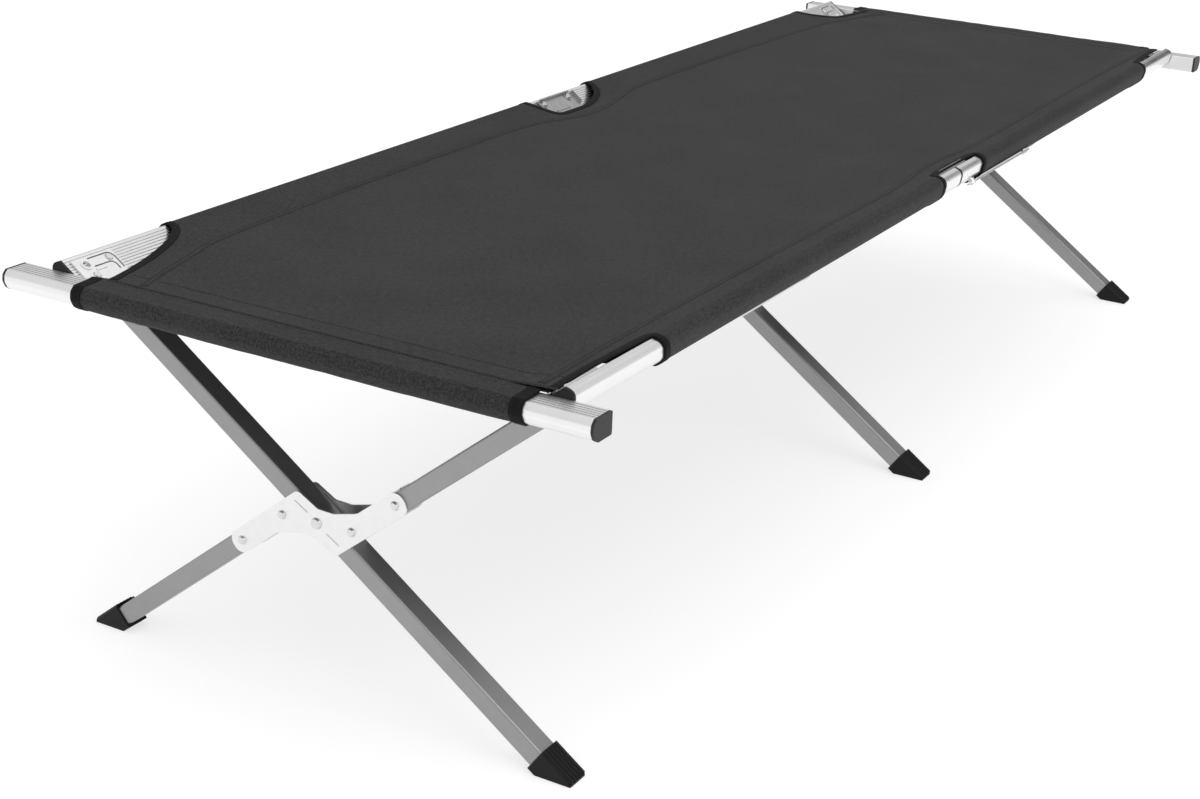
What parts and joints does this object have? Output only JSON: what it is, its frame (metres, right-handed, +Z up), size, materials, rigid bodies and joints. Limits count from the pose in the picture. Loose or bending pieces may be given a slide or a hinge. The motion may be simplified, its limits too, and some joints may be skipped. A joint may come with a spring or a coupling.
{
  "type": "folding cot",
  "caption": "Low folding bed with a stretched canvas on two long rails, crossed legs that fold like scissors, and end bars in canvas sleeves.",
  "frame": {"origin": "on the floor under the middle of the object's bounding box", "axes": "+X across the cot towards the rail carried by the two-piece legs, +Y along the cot, +Z up"},
  "size_m": [0.671, 1.9128, 0.4126],
  "materials": {
    "anodised_aluminium": "satin, bright anodised",
    "leg_grey": "satin grey",
    "zinc_plate": "bright zinc, smooth",
    "rivet_steel": "bright zinc",
    "plug_plastic": "matt black",
    "foot_plastic": "matt black",
    "cap_plastic": "matt dark grey",
    "canvas": "woven, matt dark grey",
    "binding_tape": "woven tape, black"
  },
  "bodies": {
    "left_side": {"bar_pegs": "rivet_steel", "bracket_rivets_left": "rivet_steel", "canvas_bed": "canvas", "canvas_sleeves_left": "canvas", "centre_link_left": "zinc_plate", "cross_pivot_far": "rivet_steel", "cross_pivot_mid": "rivet_steel", "cross_pivot_near": "rivet_steel", "foot_far_right": "foot_plastic", "foot_mid_right": "foot_plastic", "foot_near_right": "foot_plastic", "leg_bracket_left_far": "zinc_plate", "leg_bracket_left_near": "zinc_plate", "leg_far_long": "leg_grey", "leg_mid_long": "leg_grey", "leg_near_long": "leg_grey", "leg_pins_left": "rivet_steel", "rail_left_far": "anodised_aluminium", "rail_left_near": "anodised_aluminium", "rail_plugs_left": "plug_plastic", "sleeve_tapes_left": "binding_tape"},
    "right_side": {"bracket_rivets_right": "rivet_steel", "canvas_sleeves_right": "canvas", "centre_link_right": "zinc_plate", "cross_plate_far_back": "zinc_plate", "cross_plate_far_front": "zinc_plate", "cross_plate_mid_back": "zinc_plate", "cross_plate_mid_front": "zinc_plate", "cross_plate_near_back": "zinc_plate", "cross_plate_near_front": "zinc_plate", "cross_rivets_far": "rivet_steel", "cross_rivets_mid": "rivet_steel", "cross_rivets_near": "rivet_steel", "foot_far_left": "foot_plastic", "foot_mid_left": "foot_plastic", "foot_near_left": "foot_plastic", "leg_bracket_right_far": "zinc_plate", "leg_bracket_right_near": "zinc_plate", "leg_far_lower": "leg_grey", "leg_far_upper": "leg_grey", "leg_mid_lower": "leg_grey", "leg_mid_upper": "leg_grey", "leg_near_lower": "leg_grey", "leg_near_upper": "leg_grey", "leg_pins_right": "rivet_steel", "rail_plugs_right": "plug_plastic", "rail_right_far": "anodised_aluminium", "rail_right_near": "anodised_aluminium", "rail_stay": "zinc_plate", "sleeve_tapes_right": "binding_tape", "stay_rivets": "rivet_steel"},
    "near_bar": {"bar_caps_near": "cap_plastic", "canvas_sleeve_near": "canvas", "end_bar_near": "anodised_aluminium"},
    "far_bar": {"bar_caps_far": "cap_plastic", "canvas_sleeve_far": "canvas", "end_bar_far": "anodised_aluminium"}
  },
  "joints": [
    {"name": "frame_fold", "type": "hinge", "parent": "left_side", "child": "right_side", "pos_m": [0, 0, 0.194], "axis": [0, -1, 0], "range_deg": [0, 98], "deforming": ["canvas_bed"]},
    {"name": "near_bar_pull", "type": "slide", "parent": "left_side", "child": "near_bar", "axis": [0, -1, 0], "range_m": [0, 0.02]},
    {"name": "far_bar_pull", "type": "slide", "parent": "left_side", "child": "far_bar", "axis": [0, 1, 0], "range_m": [0, 0.02]}
  ]
}
